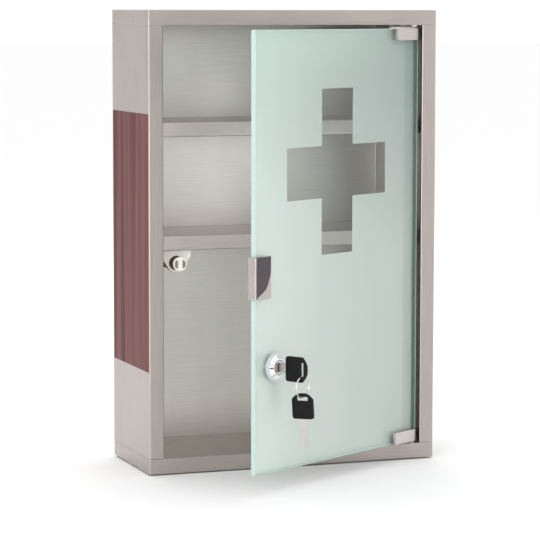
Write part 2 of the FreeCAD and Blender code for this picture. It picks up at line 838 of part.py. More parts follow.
def frosted_layer():
    """The frosted film on the back of the glass, with the clear cross and the hole for the lock."""
    body = new_body("frosted_layer")
    plan = rectangle(
        free_edge + s.frost_inset,
        hinge_edge - s.frost_inset,
        glass_bottom + s.frost_inset,
        glass_top - s.frost_inset,
    )
    slab(body, "film", "y", film_front, s.frost_thickness, [plan])
    reach = s.cross_reach / 2
    arm = s.cross_arm / 2
    quarter = [(arm, reach), (arm, arm), (reach, arm)]
    turns = [(1, 1, False), (1, -1, True), (-1, -1, False), (-1, 1, True)]
    cross = []
    for side, end, backwards in turns:
        corners = reversed(quarter) if backwards else quarter
        cross += [(cross_x + x * side, cross_z + z * end) for x, z in corners]
    slab(body, "cross", "y", film_front, s.frost_thickness, [cross], cut=True)
    hole = (lock_x, lock_z, s.lock_hole_radius)
    slab(body, "lock_hole", "y", film_front, s.frost_thickness, circles=[hole], cut=True)
    node("frosted_layer", hang_on_door(body))


def strike_clip():
    """The clip on the free edge: the hand's grip in front, the latch's strike behind."""
    right = free_edge + s.clip_reach
    web_inside = free_edge - s.clip_pad
    left = web_inside - s.clip_web
    half_gap = film_back + s.clip_pad
    outside = half_gap + s.clip_wall
    body = new_body("strike_clip")
    section = [
        (left, -outside),
        (right, -outside),
        (right, -half_gap),
        (web_inside, -half_gap),
        (web_inside, half_gap),
        (right, half_gap),
        (right, outside),
        (left, outside),
    ]
    clip = slab(body, "channel", "z", clip_low, s.clip_height, [section])
    webs = line_at("z", [(left, -outside), (left, outside)])
    clip = dress("Fillet", body, clip, s.clip_round, webs)
    ends = line_at("z", [(right, -outside), (right, outside)])
    dress("Fillet", body, clip, s.clip_edge, ends)
    node("strike_clip", hang_on_door(body))
    liner = new_body("strike_liner")
    tip = right - s.clip_pad_inset
    section = [
        (web_inside, -half_gap),
        (tip, -half_gap),
        (tip, glass_front),
        (free_edge, glass_front),
        (free_edge, film_back),
        (tip, film_back),
        (tip, half_gap),
        (web_inside, half_gap),
    ]
    height = s.clip_height - s.clip_pad_inset * 2
    slab(liner, "channel", "z", clip_low + s.clip_pad_inset, height, [section])
    node("strike_liner", hang_on_door(liner))


def lock_housing():
    """The barrel through the glass, with the conical bezel in front."""
    body = new_body("lock_housing")
    profile = [
        (s.core_radius, lock_face),
        (s.bezel_face_radius, lock_face),
        (s.bezel_radius, bezel_shoulder),
        (s.bezel_radius, bezel_back),
        (s.lock_barrel_radius, bezel_back),
        (s.lock_barrel_radius, housing_back),
        (s.core_radius, housing_back),
    ]
    turned(body, "barrel", "y", (lock_x, 0, lock_z), profile)
    cone_middle = (s.bezel_radius + s.bezel_face_radius) / 2
    cone_middle_y = (bezel_shoulder + lock_face) / 2
    depth = s.bezel_cone / 2 + s.bezel_mark_depth
    half_length = s.bezel_mark_length / 2
    half_width = s.bezel_mark_width / 2
    side, top = lock_x - cone_middle, lock_z + cone_middle
    marks = {
        "side_mark": rectangle(side - half_length, side + half_length, lock_z - half_width, lock_z + half_width),
        "top_mark": rectangle(lock_x - half_width, lock_x + half_width, top - half_length, top + half_length),
    }
    for name, plan in marks.items():
        slab(body, name, "y", cone_middle_y + s.bezel_mark_depth - depth, depth, [plan], cut=True)
    node("lock_housing", hang_on_door(body))


def lock_washers():
    """The clear washer under the bezel and the soft washer behind the glass."""
    clear = new_body("lock_washer")
    edge = s.clear_washer_radius - s.clear_washer_edge
    profile = [
        (s.lock_barrel_radius, glass_front),
        (s.clear_washer_radius, glass_front),
        (s.clear_washer_radius, bezel_back + s.clear_washer_edge),
        (edge, bezel_back),
        (s.lock_barrel_radius, bezel_back),
    ]
    turned(clear, "ring", "y", (lock_x, 0, lock_z), profile)
    node("lock_washer", hang_on_door(clear))
    rear = new_body("lock_rear_washer")
    washer_back = film_back + s.rear_washer_thickness
    profile = [
        (s.lock_barrel_radius, film_back),
        (s.rear_washer_radius, film_back),
        (s.rear_washer_radius, washer_back),
        (s.lock_barrel_radius, washer_back),
    ]
    turned(rear, "ring", "y", (lock_x, 0, lock_z), profile)
    node("lock_rear_washer", hang_on_door(rear))


def lock_nut():
    """The hexagon nut that draws the bezel against the glass."""
    body = new_body("lock_nut")
    start = film_back + s.rear_washer_thickness
    angles = [math.radians(FULL_TURN * count / HEXAGON_SIDES) for count in range(HEXAGON_SIDES)]
    hexagon = [
        (lock_x + s.lock_nut_radius * math.cos(angle), lock_z + s.lock_nut_radius * math.sin(angle))
        for angle in angles
    ]
    slab(body, "hexagon", "y", start, s.lock_nut_thickness, [hexagon])
    hole = (lock_x, lock_z, s.lock_barrel_radius)
    slab(body, "hole", "y", start, s.lock_nut_thickness, circles=[hole], cut=True)
    node("lock_nut", hang_on_door(body))


def wafer_places():
    """Where each wafer starts, behind the lock's face."""
    return [lock_face + s.wafer_first + s.wafer_pitch * count for count in range(WAFER_COUNT)]


def about_lock(width, height):
    """A rectangle centred on the lock's axis."""
    return rectangle(lock_x - width / 2, lock_x + width / 2, lock_z - height / 2, lock_z + height / 2)


def lock_core():
    """The core that the key turns: keyway, wafer slots, and a square tail for the cam."""
    body = new_body("lock_core")
    radius = s.core_radius - s.core_play
    groove_outer = radius - s.core_face_groove_width
    profile = [
        (0, lock_face),
        (groove_outer - s.core_face_groove_width, lock_face),
        (groove_outer - s.core_face_groove_width, lock_face + s.core_face_groove),
        (groove_outer, lock_face + s.core_face_groove),
        (groove_outer, lock_face),
        (radius, lock_face),
        (radius, housing_back),
        (0, housing_back),
    ]
    turned(body, "cylinder", "y", (lock_x, 0, lock_z), profile)
    band = about_lock(radius * 2, s.core_band_height)
    slab(body, "face_band", "y", lock_face, s.core_band_depth, [band], cut=True)
    tail = about_lock(s.tail_width, s.tail_width)
    slab(body, "tail", "y", housing_back, cam_back - housing_back, [tail])
    keyway = about_lock(s.keyway_width, s.keyway_height)
    slab(body, "keyway", "y", lock_face, keyway_end - lock_face, [keyway], cut=True)
    mouth = about_lock(s.keyway_mouth_width, s.keyway_mouth_height)
    slab(body, "keyway_mouth", "y", lock_face, s.keyway_mouth_depth, [mouth], cut=True)
    slot = about_lock(s.wafer_width + s.wafer_play * 2, s.wafer_height + s.wafer_play * 2)
    for number, start in enumerate(wafer_places()):
        thickness = s.wafer_thickness + s.wafer_play * 2
        slab(body, f"wafer_slot_{number}", "y", start - s.wafer_play, thickness, [slot], cut=True)
    hole = (lock_x, lock_z, s.cam_screw_radius)
    start = cam_back - s.cam_screw_depth
    slab(body, "screw_hole", "y", start, s.cam_screw_depth, circles=[hole], cut=True)
    node("lock_core", hang_on_door(body))


def lock_wafers():
    """The flat wafers in the core, each with a window that the key fills."""
    wafers = []
    for number, start in enumerate(wafer_places()):
        sizes = (s.wafer_width, s.wafer_thickness, s.wafer_height)
        low = (lock_x - s.wafer_width / 2, start, lock_z - s.wafer_height / 2)
        plate = box(f"wafer_plate_{number}", low, sizes)
        sizes = (s.keyway_width, s.wafer_thickness + s.overrun * 2, s.keyway_height)
        low = (lock_x - s.keyway_width / 2, start - s.overrun, lock_z - s.keyway_height / 2)
        wafers.append(cut_from(f"wafer_{number}", plate, box(f"wafer_window_{number}", low, sizes)))
    node("lock_wafers", hang_on_door(group("wafer_stack", wafers)))


def lock_cam():
    """The arm behind the lock that swings behind the left stile."""
    body = new_body("lock_cam")
    half = s.cam_width / 2
    tip = lock_z - s.cam_reach
    plan = rectangle(lock_x - half, lock_x + half, tip, lock_z + half)
    arm = slab(body, "arm", "y", cam_front, s.cam_thickness, [plan])
    tips = [(lock_x - half, tip), (lock_x + half, tip)]
    arm = dress("Fillet", body, arm, s.cam_tip_round, line_at("y", tips))
    heads = [(lock_x - half, lock_z + half), (lock_x + half, lock_z + half)]
    dress("Chamfer", body, arm, s.cam_tip_round, line_at("y", heads))
    width = s.tail_width + s.tail_play * 2
    slab(body, "square_hole", "y", cam_front, s.cam_thickness, [about_lock(width, width)], cut=True)
    node("lock_cam", hang_on_door(body))


def cam_screw():
    """The slotted screw that holds the cam on the tail."""
    body = new_body("cam_screw")
    start = cam_back - s.cam_screw_depth
    head_end = cam_back + s.cam_screw_head
    profile = [
        (0, start),
        (s.cam_screw_radius, start),
        (s.cam_screw_radius, cam_back),
        (s.cam_screw_head_radius, cam_back),
        (s.cam_screw_head_radius, head_end - s.cam_screw_slot_depth),
        (s.cam_screw_head_radius - s.cam_screw_slot, head_end),
        (0, head_end),
    ]
    turned(body, "shape", "y", (lock_x, 0, lock_z), profile)
    slot = about_lock(s.cam_screw_slot, s.cam_screw_head_radius * 2)
    start = head_end - s.cam_screw_slot_depth
    slab(body, "slot", "y", start, s.cam_screw_slot_depth, [slot], cut=True)
    node("cam_screw", hang_on_door(body))


def bitted_edge(half_blade):
    """The points of a blade's upper edge, with one notch for each wafer."""
    points = []
    for start, share in zip(reversed(wafer_places()), reversed(BIT_SHARES)):
        middle = lock_face - start - s.wafer_thickness / 2
        half_flat = s.key_bit_flat / 2
        bottom = half_blade - s.key_bit_depth * share
        points += [
            (middle - half_flat - s.key_bit_slope, half_blade),
            (middle - half_flat, bottom),
            (middle + half_flat, bottom),
            (middle + half_flat + s.key_bit_slope, half_blade),
        ]
    return points + [(key_shoulder_end, half_blade)]


def key(name, blade_name, place):
    """A key: steel blade with shoulder and tang, and the plastic head moulded round the tang.

    The function place gives the position of a point that lies a distance out from the lock's
    face and a distance up from the key's middle line.
    """
    blade = new_body(blade_name)
    half_blade = s.key_blade_height / 2
    half_shoulder = s.key_shoulder_height / 2
    half_tang = s.key_tang_height / 2
    tang_end = key_head_start + s.key_tang_length
    tip = key_shoulder_end - s.key_blade_length
    upper = [(tip, s.key_tip_height / 2)] + bitted_edge(half_blade)
    upper += [
        (key_shoulder_end + s.key_shoulder_slope, half_shoulder),
        (key_head_start, half_shoulder),
        (key_head_start, half_tang),
        (tang_end, half_tang),
    ]
    outline = upper + [(out, -up) for out, up in reversed(upper)]
    half_thickness = s.key_thickness / 2
    plan = [place(out, up) for out, up in outline]
    slab(blade, "blade", "x", lock_x - half_thickness, s.key_thickness, [plan])
    groove_low = -s.key_groove_off_middle - s.key_groove_height / 2
    groove = rectangle(tip, key_shoulder_end, groove_low, groove_low + s.key_groove_height)
    plan = [place(out, up) for out, up in groove]
    for side in (-1, 1):
        start = lock_x + (half_thickness - s.key_groove_depth if side > 0 else -half_thickness)
        slab(blade, f"groove_{side + 1}", "x", start, s.key_groove_depth, [plan], cut=True)
    node(blade_name, hang_on_door(blade))

    head = new_body(name)
    half_head_width = s.key_head_width / 2
    half_crown = half_head_width * CROWN_SHARE
    crown_foot = key_head_end - s.key_head_crown
    upper = [(key_head_start, half_head_width), (crown_foot, half_head_width), (key_head_end, half_crown)]
    outline = upper + [(out, -up) for out, up in reversed(upper)]
    plan = [place(out, up) for out, up in outline]
    half_head = s.key_head_thickness / 2
    shell = slab(head, "head", "x", lock_x - half_head, s.key_head_thickness, [plan])
    inner, foot, crown = plan[:3]
    far_crown, far_foot, far_inner = plan[3:]
    shell = dress("Fillet", head, shell, s.key_head_crown_round, line_at("x", [crown, far_crown]))
    shell = dress("Fillet", head, shell, s.key_head_foot_round, line_at("x", [foot, far_foot]))
    shell = dress("Fillet", head, shell, s.key_head_inner_round, line_at("x", [inner, far_inner]))
    rims = rim_at("x", [lock_x - half_head, lock_x + half_head])
    dress("Fillet", head, shell, s.key_head_edge, rims)
    half_slot = s.key_slot_width / 2
    slot_start = key_slot_centre - half_slot
    slot = rectangle(slot_start, key_slot_centre + half_slot, -s.key_slot_length / 2, s.key_slot_length / 2)
    plan = [place(out, up) for out, up in slot]
    opened = slab(head, "slot", "x", lock_x - half_head, s.key_head_thickness, [plan], cut=True)
    dress("Fillet", head, opened, half_slot / 2, line_at("x", plan))
    panel_half = half_head_width - s.key_panel_inset
    panel = rectangle(key_head_start + s.key_panel_inset, slot_start - s.key_panel_inset, -panel_half, panel_half)
    plan = [place(out, up) for out, up in panel]
    for side in (-1, 1):
        start = lock_x + (half_head - s.key_panel_depth if side > 0 else -half_head)
        slab(head, f"panel_{side + 1}", "x", start, s.key_panel_depth, [plan], cut=True)
    tang = rectangle(key_head_start, tang_end, -half_tang, half_tang)
    plan = [place(out, up) for out, up in tang]
    slab(head, "tang_pocket", "x", lock_x - half_thickness, s.key_thickness, [plan], cut=True)
    node(name, hang_on_door(head))


def keys():
    """The key in the lock, and the spare that hangs from the ring with a slight lean."""
    spare_cosine = math.cos(math.radians(SPARE_LEAN))
    spare_sine = math.sin(math.radians(SPARE_LEAN))
    key("key_head", "key_blade", lambda out, up: (lock_face - out, lock_z + up))
    key(
        "spare_key_head",
        "spare_key_blade",
        lambda out, up: (
            ring_y + up * spare_cosine + (out - key_slot_centre) * spare_sine,
            spare_slot_z + (out - key_slot_centre) * spare_cosine - up * spare_sine,
        ),
    )


def key_ring():
    """The wire ring through the slots of both keys."""
    ring = doc.addObject("Part::Torus", "ring_wire")
    lay_back(ring)
    bind(ring, "Radius1", s.ring_radius)
    bind(ring, "Radius2", s.ring_wire_radius)
    for letter, distance in zip("xyz", (lock_x, ring_y, ring_z)):
        bind(ring, "Placement.Base." + letter, distance)
    node("key_ring", hang_on_door(group("ring_on_door", [ring])))


def latch_bracket():
    """The plastic bracket that hangs the touch latch under the lower shelf."""
    body = new_body("latch_bracket")
    shoulder = latch_z + s.bracket_shoulder
    plate = [
        (bracket_left, shelf_underside),
        (bracket_left, shoulder),
        (latch_x - s.bracket_toe, bracket_low),
        (latch_x + s.bracket_toe, bracket_low),
        (bracket_right, shoulder),
        (bracket_right, shelf_underside),
    ]
    face = slab(body, "plate", "y", bracket_front, s.bracket_thickness, [plate])
    face = dress("Fillet", body, face, s.bracket_round, line_at("y", plate[2:4]))
    dress("Fillet", body, face, s.bracket_shoulder_round, line_at("y", [plate[1], plate[4]]))
    foot = rectangle(bracket_left, bracket_right, bracket_front, bracket_front + s.bracket_foot)
    foot_low = shelf_underside - s.bracket_foot_thickness
    slab(body, "foot", "z", foot_low, s.bracket_foot_thickness, [foot])
    hole = (latch_x, latch_z, s.barrel_radius)
    slab(body, "barrel_hole", "y", bracket_front, s.bracket_thickness, circles=[hole], cut=True)
    holes = [(x, latch_screw_y, s.latch_screw_radius) for x in latch_screw_places]
    slab(body, "screw_holes", "z", foot_low, s.bracket_foot_thickness, circles=holes, cut=True)
    node("latch_bracket", body)


def latch_barrel():
    """The sleeve in which the plunger runs: flush in the bracket, closed at the back."""
    body = new_body("latch_barrel")
    collar_back = bracket_back + s.barrel_collar
    profile = [
        (s.barrel_bore, bracket_front),
        (s.barrel_radius, bracket_front),
        (s.barrel_radius, bracket_back),
        (s.barrel_collar_radius, bracket_back),
        (s.barrel_collar_radius, collar_back),
        (s.barrel_radius, collar_back),
        (s.barrel_radius, barrel_end),
        (0, barrel_end),
        (0, barrel_floor),
        (s.barrel_bore, barrel_floor),
    ]
    turned(body, "sleeve", "y", (latch_x, 0, latch_z), profile)
    node("latch_barrel", body)


def latch_plunger():
    """The plunger that the door presses: cap with two recesses for the poles, stem and guide."""
    body = new_body("latch_plunger")
    cap_back = plunger_face + s.plunger_cap
    guide_front = plunger_end - s.plunger_guide
    guide_radius = s.barrel_bore - s.plunger_play
    profile = [
        (0, plunger_face),
        (s.plunger_radius - s.plunger_round, plunger_face),
        (s.plunger_radius, plunger_face + s.plunger_round),
        (s.plunger_radius, cap_back),
        (s.plunger_stem_radius, cap_back),
        (s.plunger_stem_radius, guide_front),
        (guide_radius, guide_front),
        (guide_radius, plunger_end),
        (s.plunger_bore_radius, plunger_end),
        (s.plunger_bore_radius, plunger_floor),
        (0, plunger_floor),
    ]
    turned(body, "shape", "y", (latch_x, 0, latch_z), profile)
    depth = s.pole_recess + s.pole_thickness
    outlines = [pole_outline(side) for side in (-1, 1)]
    slab(body, "recesses", "y", plunger_face, depth, outlines, cut=True)
    node("latch_plunger", body)


def pole_outline(side):
    """An upright rectangle in the plunger's face, with its two outer corners cut off."""
    inner = latch_x + (s.pole_spacing - s.pole_width) / 2 * side
    outer = latch_x + (s.pole_spacing + s.pole_width) / 2 * side
    shoulder = outer - s.pole_corner * side
    low = latch_z - s.pole_height / 2
    high = latch_z + s.pole_height / 2
    return [
        (inner, low),
        (shoulder, low),
        (outer, low + s.pole_corner),
        (outer, high - s.pole_corner),
        (shoulder, high),
        (inner, high),
    ]


def latch_poles():
    """The two pole plates of the latch's magnet, set back in the plunger's face."""
    poles = []
    for side in (-1, 1):
        body = new_body(f"pole_{side + 1}")
        start = plunger_face + s.pole_recess
        slab(body, "plate", "y", start, s.pole_thickness, [pole_outline(side)])
        poles.append(body)
    node("latch_poles", group("pole_pair", poles))


def two_arcs(start, away, end, onward):
    """Two arcs that meet smoothly, leaving start along away and reaching end along onward."""
    chord = end - start
    lean = chord.dot(away + onward)
    bend = 2 * (1 - away.dot(onward))
    reach = (math.sqrt(lean * lean + bend * chord.dot(chord)) - lean) / bend
    knees = (start + away * reach, end - onward * reach)
    meeting = (knees[0] + knees[1]) / 2
    arcs = []
    for low, knee, high in ((start, knees[0], meeting), (meeting, knees[1], end)):
        middle = (low + high) / 2
        slope = (high - low).Length / (2 * reach)
        crown = middle + (knee - middle) * (slope / (1 + slope))
        arcs.append(Part.Arc(low, crown, high).toShape())
    return arcs


def latch_spring():
    """The spring that pushes the plunger out, between the plunger's bore and the sleeve's floor."""
    wire_radius = number_of(s.spring_wire_radius)
    radius = number_of(s.spring_radius)
    start = plunger_floor + s.spring_wire_radius + s.spring_end_gap
    length = number_of(barrel_floor - s.spring_wire_radius - s.spring_end_gap - start)
    rise = length / (SPRING_TURNS * 2 * math.pi)

    def stop(count):
        angle = 2 * math.pi * count / STEPS_IN_A_TURN
        across, upward = radius * math.cos(angle), radius * math.sin(angle)
        return FreeCAD.Vector(across, rise * angle, upward), FreeCAD.Vector(-upward, rise, across).normalize()

    arcs = []
    for count in range(SPRING_TURNS * STEPS_IN_A_TURN):
        arcs += two_arcs(*stop(count), *stop(count + 1))
    middle_line = Part.Wire(arcs)
    first, direction = stop(0)
    section = Part.Wire(Part.makeCircle(wire_radius, first, direction))
    coil = doc.addObject("Part::Feature", "coil")
    coil.Shape = middle_line.makePipeShell([section], True, False)
    place = FreeCAD.Vector(number_of(latch_x), number_of(start), number_of(latch_z))
    coil.Placement = FreeCAD.Placement(place, FreeCAD.Rotation())
    points = middle_line.discretize(Number=SPRING_TURNS * SAMPLES_IN_A_TURN)
    half_turn = SAMPLES_IN_A_TURN // 2
    nearest = min(
        point.distanceToPoint(other)
        for index, point in enumerate(points)
        for other in points[index + half_turn:]
    )
    print(f"latch_spring: least gap between its turns {nearest - wire_radius * 2:.2f} mm")
    node("latch_spring", coil)


def latch_screws():
    """Two slotted screws that hold the bracket's foot to the shelf."""
    screws = []
    foot_low = shelf_underside - s.bracket_foot_thickness
    shelf_top = shelf_underside + s.sheet
    head_low = foot_low - s.latch_screw_head
    profile = [
        (0, head_low),
        (s.latch_screw_head_radius - s.latch_screw_slot, head_low),
        (s.latch_screw_head_radius, head_low + s.latch_screw_slot_depth),
        (s.latch_screw_head_radius, foot_low),
        (s.latch_screw_radius, foot_low),
        (s.latch_screw_radius, shelf_top),
        (0, shelf_top),
    ]
    for number, x in enumerate(latch_screw_places):
        screw = new_body(f"latch_screw_{number}")
        turned(screw, "shape", "z", (x, latch_screw_y, 0), profile)
        half_slot = s.latch_screw_slot / 2
        head = s.latch_screw_head_radius
        slot = rectangle(x - half_slot, x + half_slot, latch_screw_y - head, latch_screw_y + head)
        slab(screw, "slot", "z", head_low, s.latch_screw_slot_depth, [slot], cut=True)
        screws.append(screw)
    node("latch_screws", group("latch_screw_pair", screws))


def build():
    """Every sub-part of the cabinet."""
    back_panel()
    side_panel("left_side_panel", -1)
    side_panel("right_side_panel", 1)
    bush_hole = (pivot_x, pivot_y, s.bush_radius)
    rivet_holes = [(x, rivet_y, s.rivet_radius) for x in rivet_places]
    cap("top_cap", opening_half_height, [bush_hole] + rivet_holes, opening_half_height)
    cap("bottom_cap", -half_height, [bush_hole], -opening_half_height - s.sheet)
    shelf("upper_shelf", upper_shelf_z)
    shelf_holes = [(x, latch_screw_y, s.latch_screw_radius) for x in latch_screw_places]
    shelf("lower_shelf", lower_shelf_z, shelf_holes)
    side_band("left_side_band", -1)
    side_band("right_side_band", 1)
    hinge_plate()
    hinge_rivets()
    hinge_bush("top", s.top_bush_flange, 1)
    hinge_bush("bottom", s.bottom_bush_flange, -1)
    hinge_pins()
    hinge_clamp("top", top_clamp_high, top_web_low, 1)
    hinge_clamp("bottom", bottom_clamp_low, bottom_web_high, -1)
    grub_screws()
    door_glass()
    frosted_layer()
    strike_clip()
    lock_housing()
    lock_washers()
    lock_nut()
    lock_core()
    lock_wafers()
    lock_cam()
    cam_screw()
    keys()
    key_ring()
    latch_bracket()
    latch_barrel()
    latch_plunger()
    latch_poles()
    latch_spring()
    latch_screws()
    doc.recompute()


def check():
    """Stop if any object failed, any cut removed nothing or any sub-part isn't sound."""
    for item in doc.Objects:
        if {"Invalid", "Error"} & set(item.State):
            raise RuntimeError(f"{item.Label} failed: {item.State}")
        if item.TypeId in ("PartDesign::Pocket", "PartDesign::Groove"):
            if item.Shape.Volume >= item.BaseFeature.Shape.Volume:
                raise RuntimeError(f"{item.Label} cuts nothing")
    for item in nodes:
        if item.Shape.isNull() or not item.Shape.isValid() or not item.Shape.Solids:
            raise RuntimeError(f"{item.Label} is not a sound solid")


def write_parts():
    """Write each sub-part to its own file."""
    os.makedirs("parts", exist_ok=True)
    for item in nodes:
        item.Shape.exportStep(f"parts/{item.Label}.step")
        solids = len(item.Shape.Solids)
        print(f"{item.Label}: {solids} solid(s), {item.Shape.Volume:.1f} cubic mm")


build()
check()
write_parts()
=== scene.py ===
import json
import math

import bpy
from mathutils import Matrix, Vector


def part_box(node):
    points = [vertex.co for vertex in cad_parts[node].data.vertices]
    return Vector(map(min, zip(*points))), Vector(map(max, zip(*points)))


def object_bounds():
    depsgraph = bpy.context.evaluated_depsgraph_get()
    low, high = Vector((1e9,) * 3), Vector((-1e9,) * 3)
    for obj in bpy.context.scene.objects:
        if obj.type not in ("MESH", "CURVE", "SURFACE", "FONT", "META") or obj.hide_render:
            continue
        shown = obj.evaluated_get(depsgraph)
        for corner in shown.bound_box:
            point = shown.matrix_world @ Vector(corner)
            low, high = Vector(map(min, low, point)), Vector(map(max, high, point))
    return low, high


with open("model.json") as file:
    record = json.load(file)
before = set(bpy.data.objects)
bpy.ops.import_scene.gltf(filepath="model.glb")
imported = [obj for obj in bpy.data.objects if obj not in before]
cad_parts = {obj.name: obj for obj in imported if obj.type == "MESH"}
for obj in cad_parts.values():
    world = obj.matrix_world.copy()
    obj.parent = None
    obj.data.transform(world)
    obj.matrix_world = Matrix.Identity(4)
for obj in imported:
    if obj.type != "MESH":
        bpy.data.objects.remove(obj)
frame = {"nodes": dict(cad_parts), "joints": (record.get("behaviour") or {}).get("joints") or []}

cad_low, cad_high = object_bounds()
nodes = frame["nodes"]
joints = {joint["name"]: joint for joint in frame["joints"]}

# The photograph's view, in metres, degrees and pixels
PHOTO_SIDE = 540
FOCAL_PIXELS = 2490.4
CAMERA_PLACE = Vector((-0.8615, -2.4013, 0.2242))
CAMERA_YAW = 20.12
CAMERA_PITCH = 5.95
CAMERA_ROLL = 0.08
SENSOR = 36.0

# The turn that shuts the door from rest, and a point on its axis
DOOR_TURN = math.radians(joints["door_swing"]["range_deg"][0])
HINGE = Vector(joints["door_swing"]["pos_m"])

# The span in which most of a noise lies, and the sum of a normal's paired parts from flat to fold
NOISE_LOW = 0.3
NOISE_HIGH = 0.7
PAIRS = ((0, 1), (0, 2), (1, 2))
FLAT = 0.1
FOLDED = 0.4


def colour(red, green, blue):
    """A colour given as on a screen, from 0 to 255."""
    def linear(value):
        share = value / 255
        return share / 12.92 if share <= 0.04045 else ((share + 0.055) / 1.055) ** 2.4
    return (linear(red), linear(green), linear(blue), 1.0)


WHITE = (1.0, 1.0, 1.0, 1.0)


class Shader:
    """A material's nodes, made and linked in few words."""

    def __init__(self, name):
        self.material = bpy.data.materials.new(name)
        self.material.use_nodes = True
        self.tree = self.material.node_tree
        self.surface = self.tree.nodes["Principled BSDF"]
        self.output = self.tree.nodes["Material Output"]

    def add(self, kind, inputs=None, **settings):
        """A node with its settings and with its inputs set to values or linked to sockets."""
        item = self.tree.nodes.new("ShaderNode" + kind)
        for key, value in settings.items():
            setattr(item, key, value)
        for key, value in (inputs or {}).items():
            self.put(item, key, value)
        return item

    def put(self, item, key, value):
        """Set an input to a value, or link it to another node's socket."""
        if isinstance(value, bpy.types.NodeSocket):
            self.tree.links.new(value, item.inputs[key])
        else:
            item.inputs[key].default_value = value

    def set(self, **inputs):
        """Inputs of the surface shader, with underscores for spaces."""
        for key, value in inputs.items():
            self.put(self.surface, key.replace("_", " "), value)

    def place(self):
        """Where a point lies on the object, in metres."""
        return self.add("TexCoord").outputs["Object"]

    def on_door(self):
        """Where a point lies on the door: along it, through it and up, from the hinge axis."""
        moved = self.add("VectorMath", {0: self.place(), 1: HINGE}, operation="SUBTRACT")
        turned = self.add(
            "VectorRotate",
            {"Vector": moved.outputs[0], "Angle": DOOR_TURN},
            rotation_type="Z_AXIS",
        )
        return turned.outputs["Vector"]

    def parts(self, vector):
        """The three parts of a vector."""
        return self.add("SeparateXYZ", {0: vector}).outputs

    def noise(self, vector, stretch, detail=2.0, rough=0.5):
        """Noise whose grains per metre differ along each axis."""
        scaled = self.add("VectorMath", {0: vector, 1: stretch}, operation="MULTIPLY").outputs[0]
        inputs = {"Vector": scaled, "Scale": 1.0, "Detail": detail, "Roughness": rough}
        return self.add("TexNoise", inputs).outputs["Fac"]

    def ramp(self, value, low, high, first=0.0, last=1.0):
        """A value moved from one span to another and held within it."""
        item = self.add("MapRange", {"Value": value, 1: low, 2: high, 3: first, 4: last})
        item.interpolation_type = "SMOOTHSTEP"
        return item.outputs[0]

    def spread(self, noise, first=0.0, last=1.0):
        """A noise spread evenly from first to last."""
        return self.ramp(noise, NOISE_LOW, NOISE_HIGH, first, last)

    def math(self, operation, first, second=0.0):
        """One sum."""
        return self.add("Math", {0: first, 1: second}, operation=operation).outputs[0]

    def mix(self, share, first, second):
        """Between two colours."""
        item = self.add("Mix", data_type="RGBA")
        for index, value in ((0, share), (6, first), (7, second)):
            self.put(item, index, value)
        return item.outputs[2]

    def span(self, value, low, high):
        """A value as a share of the way from low to high."""
        return self.add("MapRange", {"Value": value, 1: low, 2: high}).outputs[0]

    def folds(self):
        """Where a surface turns from one axis to another: 0 on flat faces, 1 on folds and rounds."""
        normal = self.parts(self.add("NewGeometry").outputs["Normal"])
        around = [self.math("ABSOLUTE", self.math("MULTIPLY", normal[a], normal[b])) for a, b in PAIRS]
        total = self.math("ADD", self.math("ADD", around[0], around[1]), around[2])
        return self.ramp(total, FLAT, FOLDED)

    def blend(self, share, first, second):
        """Between two shaders."""
        return self.add("MixShader", {0: share, 1: first, 2: second}).outputs[0]

    def show(self, shader):
        """What the surface shows."""
        self.put(self.output, "Surface", shader)

    def bump(self, height, depth, strength):
        """Bumps as deep as depth in metres."""
        return self.add("Bump", {"Height": height, "Distance": depth, "Strength": strength}).outputs[0]


def give(material, *names):
    """Give CAD nodes a material."""
    for name in names:
        slots = nodes[name].data.materials
        slots.clear()
        slots.append(material)


def door_box(name):
    """A CAD node's lowest and highest corners in the door's own axes."""
    turn = Matrix.Rotation(DOOR_TURN, 3, "Z")
    points = [turn @ (vertex.co - HINGE) for vertex in nodes[name].data.vertices]
    low = Vector([min(point[axis] for point in points) for axis in range(3)])
    high = Vector([max(point[axis] for point in points) for axis in range(3)])
    return low, high


# Brushed stainless steel: tones, with a painted highlight for the folds and painted shade for the returns,
# grains per metre, and depths in metres
STEEL_LIGHT = colour(185, 176, 171)
STEEL_DARK = colour(170, 161, 156)
STEEL_FOLD_HIGHLIGHT = colour(208, 201, 197)
STEEL_RETURN_SHADE = colour(84, 78, 74)
STAIN_SHARE = 0.8
FOLD_HIGHLIGHT_SHARE = 0.4
BRUSH_FINE = 2600.0
BRUSH_LONG = 22.0
CLOUD_GRAINS = (14.0, 14.0, 9.0)
SMEAR_GRAINS = (60.0, 60.0, 35.0)
BRUSH_DEPTH = 0.00002
RETURN_START = 0.02
RETURN_END = 0.03


def inward_faces(shader, place):
    """1 on faces close behind the front that look at the middle of the case."""
    side = shader.parts(shader.add("NewGeometry").outputs["Normal"])[0]
    across, depth = shader.parts(place)[:2]
    inward = shader.ramp(shader.math("MULTIPLY", side, shader.math("SIGN", across)), -0.8, -0.6, 1.0, 0.0)
    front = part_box("right_side_panel")[0].y
    close = shader.ramp(depth, front + RETURN_START, front + RETURN_END, 1.0, 0.0)
    return shader.math("MULTIPLY", inward, close)


